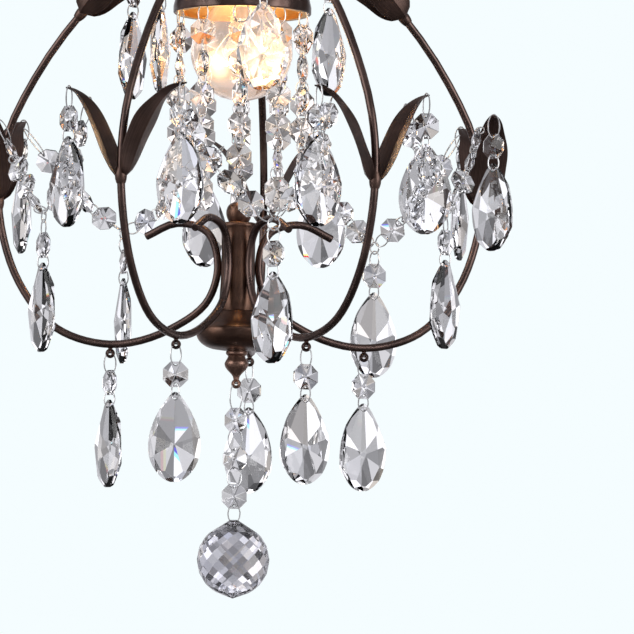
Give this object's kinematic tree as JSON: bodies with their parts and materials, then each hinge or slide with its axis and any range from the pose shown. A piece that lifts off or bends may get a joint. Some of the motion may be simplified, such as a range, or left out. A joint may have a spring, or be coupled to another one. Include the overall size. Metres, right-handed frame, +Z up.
{
  "type": "mini chandelier",
  "caption": "Small ceiling chandelier: bent bronze rods form an open cage with leaves, hung with crystal drops, bead swags and a bead curtain round a shaded lamp",
  "frame": {"origin": "the point inside the top of the hanging loop where a hook or chain link bears", "axes": "+Z up along the column, -Y to the front of the picture, +X to the right of the picture"},
  "size_m": [0.3047, 0.2996, 0.4254],
  "materials": {
    "oil_rubbed_bronze": "oil-rubbed bronze, satin",
    "burnished_bronze": "oil-rubbed bronze, burnished warmer",
    "lamp_holder": "moulded lamp holder",
    "bulb_glass": "clear",
    "lead_crystal": "cut and polished"
  },
  "bodies": {
    "frame": {"arm_1": "oil_rubbed_bronze", "arm_2": "oil_rubbed_bronze", "arm_3": "oil_rubbed_bronze", "arm_4": "oil_rubbed_bronze", "arm_5": "oil_rubbed_bronze", "bowl_cup": "burnished_bronze", "bulb": "bulb_glass", "column": "burnished_bronze", "column_knob": "burnished_bronze", "finial": "burnished_bronze", "hanging_loop": "oil_rubbed_bronze", "lamp_holder": "lamp_holder", "lower_leaves_1": "oil_rubbed_bronze", "lower_leaves_2": "oil_rubbed_bronze", "lower_leaves_3": "oil_rubbed_bronze", "lower_leaves_4": "oil_rubbed_bronze", "lower_leaves_5": "oil_rubbed_bronze", "shade_cup": "oil_rubbed_bronze", "top_hub": "oil_rubbed_bronze", "upper_leaves_1": "oil_rubbed_bronze", "upper_leaves_2": "oil_rubbed_bronze", "upper_leaves_3": "oil_rubbed_bronze", "upper_leaves_4": "oil_rubbed_bronze", "upper_leaves_5": "oil_rubbed_bronze"},
    "eyelet_pendant_1": {"eyelet_pendant_1": "lead_crystal"},
    "eyelet_pendant_2": {"eyelet_pendant_2": "lead_crystal"},
    "eyelet_pendant_3": {"eyelet_pendant_3": "lead_crystal"},
    "eyelet_pendant_4": {"eyelet_pendant_4": "lead_crystal"},
    "eyelet_pendant_5": {"eyelet_pendant_5": "lead_crystal"},
    "leaf_pendant_1_left": {"leaf_pendant_1_left": "lead_crystal"},
    "leaf_pendant_1_right": {"leaf_pendant_1_right": "lead_crystal"},
    "leaf_pendant_2_left": {"leaf_pendant_2_left": "lead_crystal"},
    "leaf_pendant_2_right": {"leaf_pendant_2_right": "lead_crystal"},
    "leaf_pendant_3_left": {"leaf_pendant_3_left": "lead_crystal"},
    "leaf_pendant_3_right": {"leaf_pendant_3_right": "lead_crystal"},
    "leaf_pendant_4_left": {"leaf_pendant_4_left": "lead_crystal"},
    "leaf_pendant_4_right": {"leaf_pendant_4_right": "lead_crystal"},
    "leaf_pendant_5_left": {"leaf_pendant_5_left": "lead_crystal"},
    "leaf_pendant_5_right": {"leaf_pendant_5_right": "lead_crystal"},
    "upper_pendant_1_left": {"upper_pendant_1_left": "lead_crystal"},
    "upper_pendant_2_left": {"upper_pendant_2_left": "lead_crystal"},
    "upper_pendant_2_right": {"upper_pendant_2_right": "lead_crystal"},
    "upper_pendant_5_right": {"upper_pendant_5_right": "lead_crystal"},
    "curtain_strand_1": {"curtain_strand_1": "lead_crystal"},
    "curtain_strand_2": {"curtain_strand_2": "lead_crystal"},
    "curtain_strand_3": {"curtain_strand_3": "lead_crystal"},
    "curtain_strand_4": {"curtain_strand_4": "lead_crystal"},
    "curtain_strand_5": {"curtain_strand_5": "lead_crystal"},
    "curtain_strand_6": {"curtain_strand_6": "lead_crystal"},
    "curtain_strand_7": {"curtain_strand_7": "lead_crystal"},
    "curtain_strand_8": {"curtain_strand_8": "lead_crystal"},
    "curtain_strand_9": {"curtain_strand_9": "lead_crystal"},
    "curtain_strand_10": {"curtain_strand_10": "lead_crystal"},
    "swag_1_2": {"swag_1_2": "lead_crystal"},
    "swag_2_3": {"swag_2_3": "lead_crystal"},
    "swag_3_4": {"swag_3_4": "lead_crystal"},
    "swag_4_5": {"swag_4_5": "lead_crystal"},
    "swag_5_1": {"swag_5_1": "lead_crystal"},
    "centre_strand": {"centre_strand": "lead_crystal"},
    "crystal_ball": {"crystal_ball": "lead_crystal"}
  },
  "joints": [
    {"name": "eyelet_pendant_1_swing", "type": "hinge", "parent": "frame", "child": "eyelet_pendant_1", "pos_m": [-0.03244, -0.06651, -0.2822], "axis": [-0.4384, -0.8988, 0], "range_deg": [-14, 14]},
    {"name": "eyelet_pendant_2_swing", "type": "hinge", "parent": "frame", "child": "eyelet_pendant_2", "pos_m": [0.03921, -0.06276, -0.2822], "axis": [0.5299, -0.848, 0], "range_deg": [-14, 14]},
    {"name": "eyelet_pendant_3_swing", "type": "hinge", "parent": "frame", "child": "eyelet_pendant_3", "pos_m": [0.0718, 0.0179, -0.2822], "axis": [0.9703, 0.2419, 0], "range_deg": [-14, 14]},
    {"name": "eyelet_pendant_4_swing", "type": "hinge", "parent": "frame", "child": "eyelet_pendant_4", "pos_m": [0.00645, 0.07372, -0.2822], "axis": [0.0872, 0.9962, 0], "range_deg": [-14, 14]},
    {"name": "eyelet_pendant_5_swing", "type": "hinge", "parent": "frame", "child": "eyelet_pendant_5", "pos_m": [-0.0718, 0.0179, -0.2822], "axis": [-0.9703, 0.2419, 0], "range_deg": [-14, 14]},
    {"name": "leaf_pendant_1_left_swing", "type": "hinge", "parent": "frame", "child": "leaf_pendant_1_left", "pos_m": [-0.09187, -0.10956, -0.14638], "axis": [-0.8988, 0.4384, 0], "range_deg": [-3, 20]},
    {"name": "leaf_pendant_1_right_swing", "type": "hinge", "parent": "frame", "child": "leaf_pendant_1_right", "pos_m": [-0.02978, -0.13985, -0.14638], "axis": [-0.8988, 0.4384, 0], "range_deg": [-3, 20]},
    {"name": "leaf_pendant_2_left_swing", "type": "hinge", "parent": "frame", "child": "leaf_pendant_2_left", "pos_m": [0.04423, -0.13597, -0.14638], "axis": [-0.848, -0.5299, 0], "range_deg": [-1, 20]},
    {"name": "leaf_pendant_2_right_swing", "type": "hinge", "parent": "frame", "child": "leaf_pendant_2_right", "pos_m": [0.10282, -0.09936, -0.14638], "axis": [-0.848, -0.5299, 0], "range_deg": [-3, 20]},
    {"name": "leaf_pendant_3_left_swing", "type": "hinge", "parent": "frame", "child": "leaf_pendant_3_left", "pos_m": [0.14298, 0.00005, -0.14638], "axis": [0.2419, -0.9703, 0], "range_deg": [-3, 20]},
    {"name": "leaf_pendant_3_right_swing", "type": "hinge", "parent": "frame", "child": "leaf_pendant_3_right", "pos_m": [0.12627, 0.06708, -0.14638], "axis": [0.2419, -0.9703, 0], "range_deg": [-3, 20]},
    {"name": "leaf_pendant_4_left_swing", "type": "hinge", "parent": "frame", "child": "leaf_pendant_4_left", "pos_m": [0.0465, 0.13521, -0.14638], "axis": [0.9962, -0.0872, 0], "range_deg": [-3, 20]},
    {"name": "leaf_pendant_4_right_swing", "type": "hinge", "parent": "frame", "child": "leaf_pendant_4_right", "pos_m": [-0.02232, 0.14123, -0.14638], "axis": [0.9962, -0.0872, 0], "range_deg": [-3, 20]},
    {"name": "leaf_pendant_5_left_swing", "type": "hinge", "parent": "frame", "child": "leaf_pendant_5_left", "pos_m": [-0.12627, 0.06708, -0.14638], "axis": [0.2419, 0.9703, 0], "range_deg": [-3, 20]},
    {"name": "leaf_pendant_5_right_swing", "type": "hinge", "parent": "frame", "child": "leaf_pendant_5_right", "pos_m": [-0.14298, 0.00005, -0.14638], "axis": [0.2419, 0.9703, 0], "range_deg": [-3, 20]},
    {"name": "upper_pendant_1_left_swing", "type": "hinge", "parent": "frame", "child": "upper_pendant_1_left", "pos_m": [-0.04488, -0.04272, -0.06444], "axis": [-0.8988, 0.4384, 0], "range_deg": [-1, 10]},
    {"name": "upper_pendant_2_left_swing", "type": "hinge", "parent": "frame", "child": "upper_pendant_2_left", "pos_m": [0.01245, -0.0607, -0.06444], "axis": [-0.848, -0.5299, 0], "range_deg": [-1, 10]},
    {"name": "upper_pendant_2_right_swing", "type": "hinge", "parent": "frame", "child": "upper_pendant_2_right", "pos_m": [0.0491, -0.0378, -0.06444], "axis": [-0.848, -0.5299, 0], "range_deg": [-1, 10]},
    {"name": "upper_pendant_5_right_swing", "type": "hinge", "parent": "frame", "child": "upper_pendant_5_right", "pos_m": [-0.06158, -0.00692, -0.06444], "axis": [0.2419, 0.9703, 0], "range_deg": [-1, 10]},
    {"name": "curtain_strand_1_swing", "type": "hinge", "parent": "frame", "child": "curtain_strand_1", "pos_m": [0, -0.0364, -0.09], "axis": [-1, 0, 0], "range_deg": [-8, 6]},
    {"name": "curtain_strand_2_swing", "type": "hinge", "parent": "frame", "child": "curtain_strand_2", "pos_m": [0.0214, -0.02945, -0.09], "axis": [-0.809, -0.5878, 0], "range_deg": [-8, 6]},
    {"name": "curtain_strand_3_swing", "type": "hinge", "parent": "frame", "child": "curtain_strand_3", "pos_m": [0.03462, -0.01125, -0.09], "axis": [-0.309, -0.9511, 0], "range_deg": [-8, 6]},
    {"name": "curtain_strand_4_swing", "type": "hinge", "parent": "frame", "child": "curtain_strand_4", "pos_m": [0.03462, 0.01125, -0.09], "axis": [0.309, -0.9511, 0], "range_deg": [-8, 6]},
    {"name": "curtain_strand_5_swing", "type": "hinge", "parent": "frame", "child": "curtain_strand_5", "pos_m": [0.0214, 0.02945, -0.09], "axis": [0.809, -0.5878, 0], "range_deg": [-8, 6]},
    {"name": "curtain_strand_6_swing", "type": "hinge", "parent": "frame", "child": "curtain_strand_6", "pos_m": [0, 0.0364, -0.09], "axis": [1, 0, 0], "range_deg": [-8, 6]},
    {"name": "curtain_strand_7_swing", "type": "hinge", "parent": "frame", "child": "curtain_strand_7", "pos_m": [-0.0214, 0.02945, -0.09], "axis": [0.809, 0.5878, 0], "range_deg": [-8, 6]},
    {"name": "curtain_strand_8_swing", "type": "hinge", "parent": "frame", "child": "curtain_strand_8", "pos_m": [-0.03462, 0.01125, -0.09], "axis": [0.309, 0.9511, 0], "range_deg": [-8, 6]},
    {"name": "curtain_strand_9_swing", "type": "hinge", "parent": "frame", "child": "curtain_strand_9", "pos_m": [-0.03462, -0.01125, -0.09], "axis": [-0.309, 0.9511, 0], "range_deg": [-8, 6]},
    {"name": "curtain_strand_10_swing", "type": "hinge", "parent": "frame", "child": "curtain_strand_10", "pos_m": [-0.0214, -0.02945, -0.09], "axis": [-0.809, 0.5878, 0], "range_deg": [-8, 6]},
    {"name": "swag_1_2_swing", "type": "hinge", "parent": "frame", "child": "swag_1_2", "pos_m": [-0.03694, -0.13047, -0.15146], "axis": [0.9986, 0.0523, 0], "range_deg": [-3, 5]},
    {"name": "swag_2_3_swing", "type": "hinge", "parent": "frame", "child": "swag_2_3", "pos_m": [0.09107, -0.10046, -0.15146], "axis": [0.3746, 0.9272, 0], "range_deg": [-5, 5]},
    {"name": "swag_3_4_swing", "type": "hinge", "parent": "frame", "child": "swag_3_4", "pos_m": [0.12369, 0.05557, -0.15146], "axis": [-0.7604, 0.6494, 0], "range_deg": [-5, 5]},
    {"name": "swag_4_5_swing", "type": "hinge", "parent": "frame", "child": "swag_4_5", "pos_m": [-0.01227, 0.13504, -0.15146], "axis": [-0.8141, -0.5807, 0], "range_deg": [-5, 5]},
    {"name": "swag_5_1_swing", "type": "hinge", "parent": "frame", "child": "swag_5_1", "pos_m": [-0.1353, 0.009, -0.15146], "axis": [0.4226, -0.9063, 0], "range_deg": [-5, 5]},
    {"name": "centre_strand_swing", "type": "hinge", "parent": "frame", "child": "centre_strand", "pos_m": [0, 0, -0.2994], "axis": [0, 1, 0], "range_deg": [-18, 18]},
    {"name": "crystal_ball_swing", "type": "hinge", "parent": "centre_strand", "child": "crystal_ball", "pos_m": [0, 0, -0.376], "axis": [1, 0, 0], "range_deg": [-20, 20]}
  ]
}
